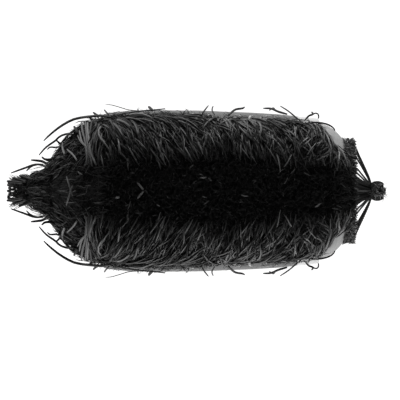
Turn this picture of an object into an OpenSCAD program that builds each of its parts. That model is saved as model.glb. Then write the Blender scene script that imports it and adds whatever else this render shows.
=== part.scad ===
// Furry windscreen for a shotgun microphone: a rigid basket, a fur jacket over it,
// and a laced tail with a cord lock that closes the microphone's way in.
// +X runs along the basket's axis to the rear, +Z is up, and the origin is on the
// surface the windscreen lies on, under its middle. All sizes are in millimetres.

/* [Basket] */
// Outer radius of the fabric-covered basket along its parallel front half
body_r = 50; // [46:1:54]
// Outer radius at the rear end of the tube, where the taper ends
rear_r = 45; // [42:1:46]
// Height of the axis above the surface that the lower pile rests on
axis_h = 54; // [52:0.5:55]
// Number of stringers along the tube and ribs on each dome
rib_count = 12; // [12:1:16]
// Width of a stringer or rib
rib_w = 2.4; // [1.6:0.2:3.2]
// Radial depth of the stringers
stringer_depth = 1.2; // [1:0.1:1.4]
// Radial depth of the frame, from the skin to the inside of the hoops and ribs
frame_depth = 2.8; // [2.4:0.1:3.2]
// Thickness of the woven skins
mesh_t = 0.6; // [0.4:0.1:0.8]

/* [Jacket] */
// Height of the fur pile above the middle of a panel
pile_h = 8; // [5:0.5:9]
// Half angle of a fur panel, seen along the axis
fur_half_angle = 62; // [56:1:63]
// Half angle of a plain side strip, seen along the axis
strip_half_angle = 26; // [20:1:26]
// Thickness of the plain side strips
strip_t = 0.5; // [0.4:0.1:0.5]

/* [Microphone entry] */
// Radius of the bush's bore, for a microphone about 20 mm across
mic_r = 10; // [9:0.5:10.5]
// Length of the bush
bush_len = 16; // [12:1:20]
// Number of screws that hold the bush retainer
screw_count = 4; // [3:1:6]

/* [Tail] */
// Radius of the fabric hem round the mouth
hem_r = 30.5; // [29:0.5:31]
// Number of eyelets, one for each leg of the draw cord's lacing
eyelet_count = 12; // [8:2:14]
// Diameter of the draw cord
cord_d = 1.4; // [1:0.2:1.8]
// Travel of the cord lock's button
button_travel = 2.5; // [1.5:0.5:3]

/* [Hidden] */
$fn = 96;
gap = 0.1;
end_x = 116;

// Stations along the axis
tube_front_x = -56;
front_taper_x = -38;
taper_x = 0;
taper_mid_x = 50;
tube_rear_x = 75;
hoop_w = 4;
hoop_x = [tube_front_x, -20, 24, tube_rear_x - hoop_w];

// The basket's outer surface, as [x, radius] points: tube, then the two domes
skin_r = body_r - strip_t - gap;
skin_rear_r = rear_r - strip_t - gap;
taper_mid_r = skin_rear_r + (skin_r - skin_rear_r) * 0.55;
tube_front_r = skin_r - 1.6;
tube_line = [
    [tube_front_x, tube_front_r], [front_taper_x, skin_r], [taper_x, skin_r],
    [taper_mid_x, taper_mid_r], [tube_rear_x, skin_rear_r]
];
dome_steps = 8;
front_dome_r = tube_front_r - 3.6;
front_dome_len = 50.4;
front_dome_drop = 122;
front_dome_turn = 40;
rear_dome_len = 25;
rear_dome_turn = 44;
rear_dome_r = skin_rear_r - 2.4;
front_line = [
    for (i = [dome_steps : -1 : 0])
        let (turn = front_dome_turn * i / dome_steps)
            [
                tube_front_x - front_dome_len * sin(turn),
                front_dome_r - front_dome_drop * (1 - cos(turn))
            ]
];
rear_line = [
    for (i = [0 : dome_steps])
        let (turn = rear_dome_turn * i / dome_steps)
            [tube_rear_x + rear_dome_len * sin(turn), rear_dome_r * cos(turn)]
];
panel_line = concat(tube_line, [for (i = [1 : dome_steps]) rear_line[i]]);
nose_x = front_line[0][0];
nose_r = front_line[0][1];
mouth_x = rear_line[dome_steps][0];
mouth_r = rear_line[dome_steps][1];

// Microphone entry
hub_t = 1.8;
collar_r = mic_r + 7;
flange_r = collar_r + 4;
flange_t = 1.5;
bush_r = mic_r + 3.4;
bush_rear_x = mouth_x + 2.2;
screw_r = 0.9;
screw_circle_r = collar_r + 1.9;

// Nose support
foam_front_x = -72;
foam_len = 10;
foam_r = 33;
foam_bore_r = 11;

// Jacket
jacket_gap = 0.4;
strip_front_x = -55.5;
strip_rear_x = 62;
fur_front_x = tube_front_x;
fur_rear_x = 89.5;
cap_front_x = -86;
cap_base_pile = 2.2;
cap_nose_pile = 2.8;
rim_front_x = 62.5;
rim_rear_x = 75.4;
rim_front_r = skin_rear_r
    + (taper_mid_r - skin_rear_r) * (tube_rear_x - rim_front_x) / (tube_rear_x - taper_mid_x);
rim_t = 0.6;

// Front closure
gather_line = [[-104, 5], [-100, 8.5], [-95, 12], [nose_x - 0.4, nose_r + 1]];
lace_count = 9;
lace_in = [-95, 13.6];
lace_out = [-118, 7.4];
lace_twist = 62;
tie_x = -108;
tie_r = 7.6;
tie_step = 0.4;

// Tail
hem_front_x = mouth_x + 0.5;
web_x = mouth_x + 3.7;
web_t = 0.8;
web_hole_r = 16.5;
hem_t = 2.6;
eyelet_circle_r = hem_r - 2.9;
eyelet_r = 1.9;
throat_line = [[web_x + 0.3, 15.6], [98.6, 11.6], [103, 7.8], [106.8, 4.2]];
throat_t = 1;
leg_bend_x = web_x + 2.6;
leg_end_r = 4.3;
seam_x = mouth_x + 0.23;
seam_r = 33.9;
seam_len = 24;
seam_d = 1.2;

// Cord lock
lock_len = 7.6;
lock_front_x = end_x - lock_len;
lock_x = end_x - lock_len / 2;
lock_half_w = 6.2;
lock_h = 17;
lock_floor = 1.5;
plunger_r = 3;
plunger_bore_r = plunger_r + 0.08;
cap_r = 3.6;
cap_t = 1.6;
slot_w = 4.4;
slot_h = 2.6;
plunger_bottom_z = axis_h - 2.4;
spring_wire = 0.45;
spring_turns = 4;
spring_steps = 14;
spring_sides = 8;
spring_bottom_z = axis_h - lock_h / 2 + lock_floor + spring_wire / 2 + 0.02;
spring_rise = plunger_bottom_z - spring_wire / 2 - 0.04 - spring_bottom_z;

// Shapes turned about the basket's axis from [x, radius] points
module turned(line) {
    translate([0, 0, axis_h])
        rotate([0, 90, 0])
            rotate_extrude()
                polygon([for (p = line) [p[1], p[0]]]);
}

// Closed outline between a line of [x, radius] points and the same line moved inwards
function band(line, outer, inner) = concat(
    [for (p = line) [p[0], p[1] + outer]],
    [for (i = [len(line) - 1 : -1 : 0]) [line[i][0], line[i][1] + inner]]
);

// Closed outline of everything from the axis out to a line of [x, radius] points
function filled(line, grow) = concat(
    [[line[0][0], 0]],
    [for (p = line) [p[0], p[1] + grow]],
    [[line[len(line) - 1][0], 0]]
);

module ring(x, length, outer_r, inner_r) {
    turned([[x, inner_r], [x, outer_r], [x + length, outer_r], [x + length, inner_r]]);
}

// Radial slabs through the axis, which cut ribs out of a shell
module rib_slabs(x, length) {
    for (i = [0 : rib_count - 1])
        translate([x, 0, axis_h])
            rotate([360 * (i + 0.5) / rib_count, 0, 0])
                translate([0, -rib_w / 2, 5])
                    cube([length, rib_w, body_r]);
}

// Wedge of space above the axis, or below it when tip is -1
module wedge(x, length, half_angle, tip) {
    reach = body_r + pile_h + 20;
    translate([x, 0, axis_h])
        rotate([90, 0, 90])
            linear_extrude(length)
                polygon([
                    [0, 0],
                    [-reach * tan(half_angle), tip * reach],
                    [reach * tan(half_angle), tip * reach]
                ]);
}

// Wedge of space on the +Y side of the axis, or on the -Y side when side is -1
module side_wedge(x, length, half_angle, side) {
    reach = body_r + 20;
    translate([x, 0, axis_h])
        rotate([90, 0, 90])
            linear_extrude(length)
                polygon([
                    [0, 0],
                    [side * reach, -reach * tan(half_angle)],
                    [side * reach, reach * tan(half_angle)]
                ]);
}

// Point on a circle about the basket's axis
function around(x, r, turn) = [x, r * sin(turn), axis_h + r * cos(turn)];

// Round bar between two points
module bar(a, b, d) {
    run = b - a;
    length = norm(run);
    translate(a)
        rotate([0, acos(run[2] / length), atan2(run[1], run[0])])
            cylinder(h = length, d = d, $fn = 24);
}

// One hoop of the tube, inside the stringers
module hoop(x) {
    color([0.10, 0.10, 0.11])
        intersection() {
            turned(band(tube_line, -mesh_t - gap - stringer_depth, -mesh_t - gap - frame_depth));
            translate([x, -body_r, axis_h - body_r])
                cube([hoop_w, 2 * body_r, 2 * body_r]);
        }
}

module front_hoop() { hoop(hoop_x[0]); }

module second_hoop() { hoop(hoop_x[1]); }

module third_hoop() { hoop(hoop_x[2]); }

module rear_hoop() { hoop(hoop_x[3]); }

module stringers() {
    color([0.12, 0.12, 0.13])
        intersection() {
            turned(band(tube_line, -mesh_t - gap, -mesh_t - gap - stringer_depth));
            rib_slabs(tube_front_x - 1, tube_rear_x - tube_front_x + 2);
        }
}

module front_dome_frame() {
    hub_t_front = 2;
    depth = -mesh_t - gap - frame_depth;
    color([0.10, 0.10, 0.11]) {
        intersection() {
            turned(band(front_line, -mesh_t - gap, depth));
            union() {
                rib_slabs(nose_x, tube_front_x - nose_x);
                translate([tube_front_x - hoop_w - gap, -body_r, axis_h - body_r])
                    cube([hoop_w, 2 * body_r, 2 * body_r]);
            }
        }
        ring(nose_x, hub_t_front, nose_r - mesh_t - gap, 8);
    }
}

module rear_dome_frame() {
    depth = -mesh_t - gap - frame_depth;
    color([0.70, 0.70, 0.71]) {
        intersection() {
            turned(band(rear_line, -mesh_t - gap, depth));
            union() {
                rib_slabs(tube_rear_x, mouth_x - tube_rear_x);
                translate([tube_rear_x + gap, -body_r, axis_h - body_r])
                    cube([hoop_w - 1, 2 * body_r, 2 * body_r]);
            }
        }
        ring(mouth_x - hub_t, hub_t, mouth_r - mesh_t - gap, collar_r + gap);
    }
}

module tube_mesh() {
    color([0.16, 0.16, 0.17]) turned(band(tube_line, 0, -mesh_t));
}

module front_dome_mesh() {
    color([0.16, 0.16, 0.17]) turned(band(front_line, 0, -mesh_t));
}

module rear_dome_mesh() {
    color([0.78, 0.78, 0.78]) turned(band(rear_line, 0, -mesh_t));
}

// Band that laps the tube's front edge and steps down onto the front dome
module front_seam_band() {
    dome_edge = front_line[dome_steps - 1];
    color([0.08, 0.08, 0.08])
        turned([
            [tube_front_x - 3.4, dome_edge[1] + 0.45], [tube_front_x - 0.1, front_dome_r + 0.1],
            [tube_front_x - 0.1, tube_front_r], [tube_front_x - 1, tube_front_r],
            [tube_front_x - 3.4, dome_edge[1] + 1.6]
        ]);
}

module rear_rim_band() {
    line = [[rim_front_x, rim_front_r], [rim_rear_x, skin_rear_r]];
    color([0.85, 0.85, 0.86]) turned(band(line, gap + rim_t, gap));
}

module rear_collar() {
    color([0.09, 0.09, 0.10])
        difference() {
            union() {
                ring(mouth_x - 9, 9 + flange_t, collar_r, bush_r + gap);
                ring(mouth_x + gap, flange_t, flange_r, collar_r - 1);
            }
            screw_holes(mouth_x - 1, 4);
        }
}

module mic_bush() {
    color([0.05, 0.05, 0.05])
        difference() {
            union() {
                ring(bush_rear_x - bush_len, bush_len, bush_r, 1);
                ring(bush_rear_x - bush_len, 2, bush_r + 2.6, 1);
            }
            translate([bush_rear_x - bush_len - 1, 0, axis_h])
                rotate([0, 90, 0])
                    cylinder(r = mic_r, h = bush_len + 2);
        }
}

module bush_retainer() {
    color([0.14, 0.14, 0.15])
        difference() {
            ring(mouth_x + flange_t + 2 * gap, 0.9, flange_r - 0.4, bush_r + 0.4);
            screw_holes(mouth_x, 5);
        }
}

module screw_holes(x, length) {
    for (i = [0 : screw_count - 1])
        translate(around(x, screw_circle_r, 45 + 360 * i / screw_count))
            rotate([0, 90, 0])
                cylinder(r = screw_r + 0.05, h = length, $fn = 32);
}

module retainer_screws() {
    head_x = mouth_x + flange_t + 2 * gap + 0.9;
    color([0.62, 0.62, 0.64])
        for (i = [0 : screw_count - 1])
            translate(around(0, screw_circle_r, 45 + 360 * i / screw_count))
                rotate([0, 90, 0]) {
                    translate([0, 0, mouth_x + 0.3])
                        cylinder(r = screw_r, h = head_x - mouth_x - 0.3, $fn = 32);
                    difference() {
                        translate([0, 0, head_x])
                            cylinder(r = 1.6, h = 0.6, $fn = 32);
                        translate([-1.2, -0.2, head_x + 0.3])
                            cube([2.4, 0.4, 1]);
                    }
                }
}

module nose_foam() {
    color([0.20, 0.20, 0.20])
        difference() {
            ring(foam_front_x, foam_len, foam_r, 1);
            translate([foam_front_x - 1, 0, axis_h])
                rotate([0, 90, 0])
                    cylinder(r = foam_bore_r, h = foam_len + 2);
        }
}

// Fur all round the front dome, thicker towards the nose
module front_fur_cap() {
    base_x = tube_front_x - 3.8;
    inner = [for (p = front_line) if (p[0] > cap_front_x && p[0] < base_x) p];
    depth = base_x - cap_front_x;
    color([0.04, 0.04, 0.04])
        turned(concat(
            [
                for (p = inner)
                    let (share = (base_x - p[0]) / depth)
                        [p[0], p[1] + cap_base_pile + (cap_nose_pile - cap_base_pile) * share]
            ],
            [for (i = [len(inner) - 1 : -1 : 0]) [inner[i][0], inner[i][1] + jacket_gap]]
        ));
}

// One fur panel: the basket's outline moved up or down by the pile, less the basket
module fur_panel(tip) {
    difference() {
        intersection() {
            translate([0, 0, tip * pile_h])
                turned(filled(panel_line, 0));
            wedge(fur_front_x, fur_rear_x - fur_front_x, fur_half_angle, tip);
        }
        turned(filled(panel_line, jacket_gap));
        turned(filled(
            [[rim_front_x - jacket_gap, rim_front_r], [rim_rear_x + jacket_gap, skin_rear_r]],
            rim_t + 2 * jacket_gap
        ));
        translate([-end_x, -2 * body_r, -4 * body_r])
            cube([2 * end_x, 4 * body_r, 4 * body_r]);
    }
}

module upper_fur_panel() {
    color([0.04, 0.04, 0.04]) fur_panel(1);
}

module lower_fur_panel() {
    color([0.04, 0.04, 0.04]) fur_panel(-1);
}

module side_strip(side) {
    length = strip_rear_x - strip_front_x;
    intersection() {
        turned(band(tube_line, gap + strip_t, gap));
        side_wedge(strip_front_x, length, strip_half_angle, side);
    }
}

module left_side_strip() {
    color([0.28, 0.28, 0.29]) side_strip(1);
}

module right_side_strip() {
    color([0.28, 0.28, 0.29]) side_strip(-1);
}

module front_gather() {
    color([0.05, 0.05, 0.05]) turned(band(gather_line, 0, -2.4));
}

// Two sets of cords that cross as they close the front of the jacket
module front_lacing() {
    color([0.10, 0.10, 0.10])
        intersection() {
            union()
                for (i = [0 : lace_count - 1], way = [-1, 1]) {
                    turn = 360 * i / lace_count;
                    reach = lace_in[1] + 0.35 * way;
                    bar(
                        around(lace_in[0], reach, turn),
                        around(lace_out[0], lace_out[1] + 0.35 * way, turn + way * lace_twist / 2),
                        cord_d
                    );
                }
            translate([-end_x, -body_r, 0])
                cube([end_x + nose_x, 2 * body_r, 2 * axis_h]);
        }
}

module front_tie() {
    wraps = 2;
    color([0.12, 0.12, 0.12])
        for (i = [0 : wraps - 1])
            translate([tie_x - i * (cord_d + 0.1), 0, axis_h])
                rotate([0, 90, 0])
                    rotate_extrude()
                        translate([tie_r - tie_step * i, 0])
                            circle(d = cord_d, $fn = 24);
}

// Piping on the line that the tail folds about, at the top of the mouth
module fold_seam() {
    color([0.06, 0.06, 0.06])
        translate([seam_x, seam_len / 2, axis_h + seam_r])
            rotate([90, 0, 0])
                cylinder(h = seam_len, d = seam_d, $fn = 32);
}

module tail_hem() {
    color([0.07, 0.07, 0.07])
        difference() {
            union() {
                ring(hem_front_x, web_x + web_t - hem_front_x, hem_r, hem_r - hem_t);
                ring(web_x, web_t, hem_r - 1, web_hole_r);
            }
            for (i = [0 : eyelet_count - 1])
                translate(around(web_x - 1, eyelet_circle_r, 360 * i / eyelet_count))
                    rotate([0, 90, 0])
                        cylinder(r = eyelet_r - 0.7, h = 3, $fn = 32);
        }
}

module hem_fringe() {
    front_x = hem_front_x + 0.4;
    color([0.04, 0.04, 0.04])
        turned([
            [front_x, hem_r + gap], [front_x, hem_r + 2.4],
            [front_x + 4.6, hem_r + 1.6], [front_x + 4.6, hem_r + gap]
        ]);
}

module hem_eyelets() {
    color([0.30, 0.30, 0.31])
        for (i = [0 : eyelet_count - 1])
            translate(around(web_x + web_t + 0.05, eyelet_circle_r, 360 * i / eyelet_count))
                rotate([0, 90, 0])
                    difference() {
                        cylinder(r = eyelet_r, h = 0.6, $fn = 32);
                        translate([0, 0, -1])
                            cylinder(r = cord_d / 2 + 0.1, h = 3, $fn = 32);
                    }
}

module tail_throat() {
    color([0.04, 0.04, 0.04]) turned(band(throat_line, 0, -throat_t));
}

// The draw cord's legs: straight through their eyelets, then on to the cord lock's face
module tail_cords() {
    color([0.13, 0.13, 0.13])
        for (i = [0 : eyelet_count - 1]) {
            turn = 360 * i / eyelet_count;
            bend = around(leg_bend_x, eyelet_circle_r, turn);
            bar(around(web_x - 0.8, eyelet_circle_r, turn), bend, cord_d);
            translate(bend) sphere(d = cord_d + 0.2);
            bar(bend, around(lock_front_x - 0.6, leg_end_r, turn), cord_d);
        }
}

module lock_shape(grow, h) {
    intersection() {
        translate([lock_x, 0, axis_h - lock_h / 2])
            cylinder(r = lock_half_w + grow, h = h);
        translate([lock_front_x, -lock_half_w, axis_h - lock_h / 2])
            cube([lock_len, 2 * lock_half_w, h]);
    }
}

module lock_slot() {
    translate([lock_front_x - 1, -slot_w / 2, axis_h - slot_h / 2])
        cube([lock_len + 2, slot_w, slot_h]);
}

module lock_body() {
    color([0.09, 0.09, 0.10])
        difference() {
            lock_shape(0, lock_h);
            translate([lock_x, 0, axis_h - lock_h / 2 + lock_floor])
                cylinder(r = plunger_bore_r, h = lock_h);
            lock_slot();
        }
}

module lock_button() {
    top_z = axis_h + lock_h / 2 + button_travel + 0.3;
    color([0.13, 0.13, 0.14])
        difference() {
            union() {
                translate([lock_x, 0, plunger_bottom_z])
                    cylinder(r = plunger_r, h = top_z - plunger_bottom_z + 0.2);
                translate([lock_x, 0, top_z])
                    cylinder(r = cap_r, h = cap_t);
            }
            lock_slot();
        }
}

// Compression spring: a round wire swept along a helix
module lock_spring() {
    coil_r = plunger_r - 0.6;
    count = spring_turns * spring_steps + 1;
    points = [
        for (i = [0 : count - 1], k = [0 : spring_sides - 1])
            let (
                turn = 360 * i / spring_steps,
                side = 360 * k / spring_sides,
                r = coil_r + spring_wire / 2 * cos(side),
                z = spring_bottom_z + spring_rise * i / (count - 1) + spring_wire / 2 * sin(side)
            )
                [lock_x + r * cos(turn), r * sin(turn), z]
    ];
    walls = [
        for (i = [0 : count - 2], k = [0 : spring_sides - 1])
            let (a = i * spring_sides, n = (k + 1) % spring_sides)
                [a + k, a + spring_sides + k, a + spring_sides + n, a + n]
    ];
    first_cap = [for (k = [0 : spring_sides - 1]) k];
    last_cap = [for (k = [spring_sides - 1 : -1 : 0]) (count - 1) * spring_sides + k];
    color([0.55, 0.55, 0.57])
        polyhedron(points = points, faces = concat(walls, [first_cap], [last_cap]));
}

front_hoop();
second_hoop();
third_hoop();
rear_hoop();
stringers();
front_dome_frame();
rear_dome_frame();
tube_mesh();
front_dome_mesh();
rear_dome_mesh();
front_seam_band();
rear_rim_band();
rear_collar();
mic_bush();
bush_retainer();
retainer_screws();
nose_foam();
front_fur_cap();
upper_fur_panel();
lower_fur_panel();
left_side_strip();
right_side_strip();
front_gather();
front_lacing();
front_tie();
fold_seam();
tail_hem();
hem_fringe();
hem_eyelets();
tail_throat();
tail_cords();
lock_body();
lock_spring();
lock_button();
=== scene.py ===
import math

import bpy
import numpy as np
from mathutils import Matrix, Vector


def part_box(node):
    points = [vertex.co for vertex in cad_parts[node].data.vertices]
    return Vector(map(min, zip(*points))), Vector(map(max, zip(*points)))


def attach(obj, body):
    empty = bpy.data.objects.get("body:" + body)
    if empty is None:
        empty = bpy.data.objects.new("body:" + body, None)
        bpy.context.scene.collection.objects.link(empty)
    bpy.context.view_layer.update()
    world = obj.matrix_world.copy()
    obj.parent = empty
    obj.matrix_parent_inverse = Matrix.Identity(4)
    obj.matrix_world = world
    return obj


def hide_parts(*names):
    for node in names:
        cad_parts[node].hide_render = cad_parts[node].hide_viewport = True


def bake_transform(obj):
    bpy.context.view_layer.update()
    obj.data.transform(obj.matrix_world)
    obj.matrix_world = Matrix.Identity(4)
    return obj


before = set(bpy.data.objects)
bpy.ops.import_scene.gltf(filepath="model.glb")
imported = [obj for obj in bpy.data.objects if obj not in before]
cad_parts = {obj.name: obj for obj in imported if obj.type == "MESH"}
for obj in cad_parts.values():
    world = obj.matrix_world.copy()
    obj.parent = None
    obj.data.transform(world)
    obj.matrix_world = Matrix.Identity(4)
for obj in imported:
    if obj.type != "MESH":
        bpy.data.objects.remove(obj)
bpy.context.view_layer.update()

# The windscreen lies with its axis along X. A place on it is given by x, by the angle
# phi round the axis from straight up towards +Y, and by the lift above the basket's
# skin. Everything is in metres and radians; MM and DEG turn the units used here.
MM = 0.001
DEG = math.pi / 180
LOW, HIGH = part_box("tube_mesh")
AXIS_Z = (LOW.z + HIGH.z) / 2
FLOOR_Z = 0.5 * MM
FOLD_X = 92.6 * MM


def random(seed):
    return np.random.default_rng(seed)


# ---------------------------------------------------------------- the basket's shape

def outline(*nodes):
    """Stations along the axis and the outer radius of these nodes at each of them."""
    radius = {}
    for node in nodes:
        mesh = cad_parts[node].data
        points = np.empty(3 * len(mesh.vertices))
        mesh.vertices.foreach_get("co", points)
        points = points.reshape(-1, 3)
        out = np.hypot(points[:, 1], points[:, 2] - AXIS_Z)
        for x, r in zip(np.round(points[:, 0], 4), out):
            radius[x] = max(radius.get(x, 0.0), r)
    stations = sorted(radius)
    return np.array(stations), np.array([radius[x] for x in stations])


SKIN_X, SKIN_R = outline(
    "front_gather", "front_dome_mesh", "tube_mesh", "rear_dome_mesh")


def skin_radius(x):
    return np.interp(x, SKIN_X, SKIN_R)


def skin_slope(x):
    step = 3 * MM
    return (skin_radius(x + step) - skin_radius(x - step)) / (2 * step)


def place(x, phi, lift=0.0):
    """Points at a lift above the skin, with the outward normals there."""
    x, phi, lift = np.broadcast_arrays(*(np.asarray(v, float) for v in (x, phi, lift)))
    normal = np.stack([-skin_slope(x), np.sin(phi), np.cos(phi)], -1)
    normal /= np.linalg.norm(normal, axis=-1, keepdims=True)
    radius = skin_radius(x)
    point = np.stack([x, radius * np.sin(phi), AXIS_Z + radius * np.cos(phi)], -1)
    return point + normal * lift[..., None], normal


def unit(v):
    return v / np.maximum(np.linalg.norm(v, axis=-1, keepdims=True), 1e-12)


# ---------------------------------------------------------------- materials

class Shader:
    """A Principled material, with short calls for the nodes that the looks need."""

    def __init__(self, name, color, roughness=0.6, **sockets):
        self.material = bpy.data.materials.new(name)
        self.material.use_nodes = True
        self.tree = self.material.node_tree
        self.surface = self.tree.nodes["Principled BSDF"]
        self.surface.inputs["Base Color"].default_value = (*color, 1.0)
        self.surface.inputs["Roughness"].default_value = roughness
        for socket, value in sockets.items():
            self.surface.inputs[socket.replace("_", " ")].default_value = value

    def node(self, kind, **settings):
        made = self.tree.nodes.new(kind)
        for key, value in settings.items():
            setattr(made, key, value)
        return made

    def link(self, output, socket):
        self.tree.links.new(output, socket)

    def math(self, operation, a, b=0.0):
        made = self.node("ShaderNodeMath", operation=operation)
        for socket, value in zip(made.inputs, (a, b)):
            if isinstance(value, (int, float)):
                socket.default_value = value
            else:
                self.link(value, socket)
        return made.outputs[0]

    def noise(self, scale, detail=3.0, stretch=(1.0, 1.0, 1.0)):
        mapping = self.node("ShaderNodeMapping")
        mapping.inputs["Scale"].default_value = stretch
        self.link(self.node("ShaderNodeTexCoord").outputs["Object"], mapping.inputs[0])
        made = self.node("ShaderNodeTexNoise")
        made.inputs["Scale"].default_value = scale
        made.inputs["Detail"].default_value = detail
        self.link(mapping.outputs[0], made.inputs["Vector"])
        return made.outputs["Fac"]

    def weave(self, pitch, radius=45 * MM):
        """0 to 1 over a plain weave wrapped round the basket's axis."""
        split = self.node("ShaderNodeSeparateXYZ")
        self.link(self.node("ShaderNodeTexCoord").outputs["Object"], split.inputs[0])
        x, y, z = split.outputs
        turn = self.math("ARCTAN2", y, self.math("SUBTRACT", z, AXIS_Z))
        rate = 2 * math.pi / pitch
        warp = self.math("SINE", self.math("MULTIPLY", x, rate))
        weft = self.math("SINE", self.math("MULTIPLY", turn, rate * radius))
        both = self.math("MULTIPLY", warp, weft)
        return self.math("ADD", self.math("MULTIPLY", both, 0.5), 0.5)

    def ramp(self, factor, dark, light, low=0.3, high=0.7):
        made = self.node("ShaderNodeValToRGB")
        first, last = made.color_ramp.elements
        first.position, last.position = low, high
        first.color, last.color = (*dark, 1.0), (*light, 1.0)
        self.link(factor, made.inputs[0])
        self.link(made.outputs[0], self.surface.inputs["Base Color"])
        return self

    def bump(self, factor, height, strength=0.6):
        made = self.node("ShaderNodeBump")
        made.inputs["Distance"].default_value = height
        made.inputs["Strength"].default_value = strength
        self.link(factor, made.inputs["Height"])
        self.link(made.outputs[0], self.surface.inputs["Normal"])
        return self


def grey(value):
    return (value, value, value)


def moulded(name, value, roughness, grain=900.0):
    """Moulded plastic with a fine grain."""
    look = Shader(name, grey(value), roughness)
    speckle = look.noise(grain, 2.0)
    look.ramp(speckle, grey(value * 0.8), grey(value * 1.2))
    return look.bump(speckle, 0.05 * MM, 0.35).material


def woven(name, value, pitch, roughness=0.75):
    """Plain-woven cloth or mesh with uneven threads."""
    look = Shader(name, grey(value), roughness)
    threads = look.weave(pitch)
    uneven = look.math("MULTIPLY", threads, look.math("ADD", look.noise(160.0), 0.5))
    look.ramp(uneven, grey(value * 0.45), grey(value * 1.35), 0.15, 0.85)
    return look.bump(threads, 0.12 * MM, 0.5).material


def napped(name, value):
    """Soft cloth with a fuzzy, uneven face."""
    look = Shader(name, grey(value), 0.9)
    fuzz = look.noise(700.0, 4.0, (0.5, 1.0, 1.0))
    look.ramp(fuzz, grey(value * 0.5), grey(value * 1.5))
    return look.bump(fuzz, 0.2 * MM, 0.6).material


def jersey(name, value):
    """Smooth stretch cloth: fine ribs along the basket and soft wear."""
    look = Shader(name, grey(value), 0.55, Sheen_Weight=0.35, Sheen_Roughness=0.4)
    ribs = look.weave(0.7 * MM)
    wear = look.noise(60.0, 3.0, (0.3, 1.0, 1.0))
    look.ramp(wear, grey(value * 0.75), grey(value * 1.25))
    return look.bump(ribs, 0.04 * MM, 0.4).material


def sponge(name, value):
    """Open-cell foam."""
    look = Shader(name, grey(value), 0.95)
    cells = look.node("ShaderNodeTexVoronoi")
    cells.inputs["Scale"].default_value = 900.0
    look.link(look.node("ShaderNodeTexCoord").outputs["Object"], cells.inputs["Vector"])
    look.ramp(cells.outputs["Distance"], grey(value * 0.3), grey(value * 1.6), 0.1, 0.6)
    return look.bump(cells.outputs["Distance"], 0.4 * MM, 0.8).material


def brushed(name, value, roughness=0.3):
    """Metal with fine turning marks."""
    look = Shader(name, grey(value), roughness, Metallic=1.0)
    marks = look.noise(1500.0, 2.0, (0.1, 1.0, 1.0))
    look.ramp(marks, grey(value * 0.8), grey(value * 1.15))
    return look.bump(marks, 0.01 * MM, 0.3).material


def plain(name, value, roughness, **sockets):
    return Shader(name, grey(value), roughness, **sockets).material


# The fur's greys, blackest first. They are partly the fur's own uneven tone and partly painted
# light: the blacker greys serve as painted shade where the pile lies in shade, the paler ones as
# painted light on strands the lamps reach, and the last, near-white grey is a painted highlight.
PILE = [
    plain("pile_black", 0.004, 0.65, Specular_IOR_Level=0.2),
    plain("pile_charcoal", 0.014, 0.5, Specular_IOR_Level=0.4),
    plain("pile_grey", 0.044, 0.45, Specular_IOR_Level=0.5),
    plain("pile_light", 0.105, 0.4, Specular_IOR_Level=0.5),
    plain("pile_painted_glint", 0.42, 0.35, Specular_IOR_Level=0.5),
]
CAGE = moulded("cage_plastic", 0.03, 0.45)
PALE_CAGE = moulded("pale_plastic", 0.62, 0.5)
DARK_MOULDED = moulded("retainer_plastic", 0.04, 0.4)
LOCK = moulded("lock_plastic", 0.035, 0.25, 400.0)
BUTTON = moulded("lock_button_plastic", 0.13, 0.2, 400.0)
SKIN = woven("skin_weave", 0.03, 1.1 * MM)
# The rear dome's weave is far paler than the same weave elsewhere: painted light for the bright
# backdrop seen through the open mesh.
REAR_SKIN_PAINTED_LIGHT = woven("pale_skin", 0.32, 1.0 * MM, 0.6)
TAPE = woven("seam_tape", 0.03, 1.4 * MM)
LINING = napped("lining_fabric", 0.014)
BACKING = napped("fur_backing", 0.006)
STRIP = jersey("strip_fabric", 0.03)
BINDING = napped("strip_binding", 0.05)
FOAM = sponge("foam", 0.05)
RUBBER = moulded("bush_rubber", 0.02, 0.55, 500.0)
STEEL = brushed("screw_steel", 0.55)
SPRING = brushed("spring_steel", 0.5, 0.25)
EYELET = moulded("eyelet_metal", 0.07, 0.35, 600.0)
CORD = napped("cord", 0.045)


def clear_plastic():
    """Milky translucent plastic for the rim band."""
    look = Shader(
        "clear_rim", grey(0.6), 0.35,
        Transmission_Weight=0.25, IOR=1.45, Specular_IOR_Level=0.5,
    )
    haze = look.noise(45.0, 2.0, (0.4, 1.0, 1.0))
    look.ramp(haze, grey(0.5), grey(0.68))
    return look.bump(haze, 0.1 * MM, 0.2).material


RIM = clear_plastic()


# ---------------------------------------------------------------- meshes

def new_object(name, points, loops, starts, slots, picks=None):
    """A smooth mesh object from flat numpy arrays."""
    mesh = bpy.data.meshes.new(name)
    mesh.vertices.add(len(points))
    mesh.vertices.foreach_set("co", np.asarray(points, np.float32).ravel())
    mesh.loops.add(len(loops))
    mesh.loops.foreach_set("vertex_index", np.asarray(loops, np.int32))
    mesh.polygons.add(len(starts))
    mesh.polygons.foreach_set("loop_start", np.asarray(starts, np.int32))
    mesh.polygons.foreach_set("use_smooth", np.ones(len(starts), bool))
    for material in slots:
        mesh.materials.append(material)
    if picks is not None:
        mesh.polygons.foreach_set("material_index", np.asarray(picks, np.int32))
    mesh.update(calc_edges=True)
    made = bpy.data.objects.new(name, mesh)
    bpy.context.scene.collection.objects.link(made)
    return made


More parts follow.
